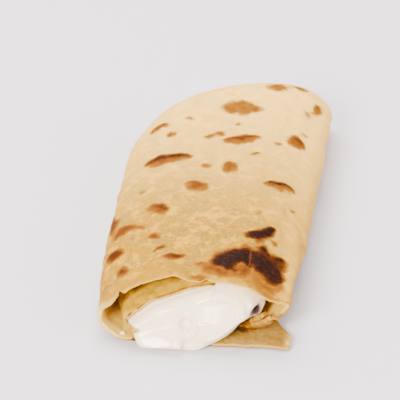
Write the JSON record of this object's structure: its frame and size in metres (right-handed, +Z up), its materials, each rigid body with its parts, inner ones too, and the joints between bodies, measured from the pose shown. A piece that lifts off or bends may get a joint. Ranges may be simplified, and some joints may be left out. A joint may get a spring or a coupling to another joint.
{
  "type": "filled chapati",
  "caption": "Cut half of a rolled flatbread with white cream filling: a flat spiral of thin toasted dough, open at the cut and tucked shut at the far end.",
  "frame": {"origin": "middle of the underside of the object's box, on the table that the roll lies on", "axes": "+Y runs along the roll from the cut to the tucked end, so the cut faces -Y; +X is to the right when looking at the cut; +Z is up"},
  "size_m": [0.0654, 0.1424, 0.0221],
  "materials": {
    "baked_dough": "matte pale yellow baked dough with toasted and charred spots",
    "white_cream": "soft satin white cream, slightly translucent"
  },
  "bodies": {
    "root": {"chapati": "baked_dough", "filling": "white_cream"}
  },
  "joints": []
}
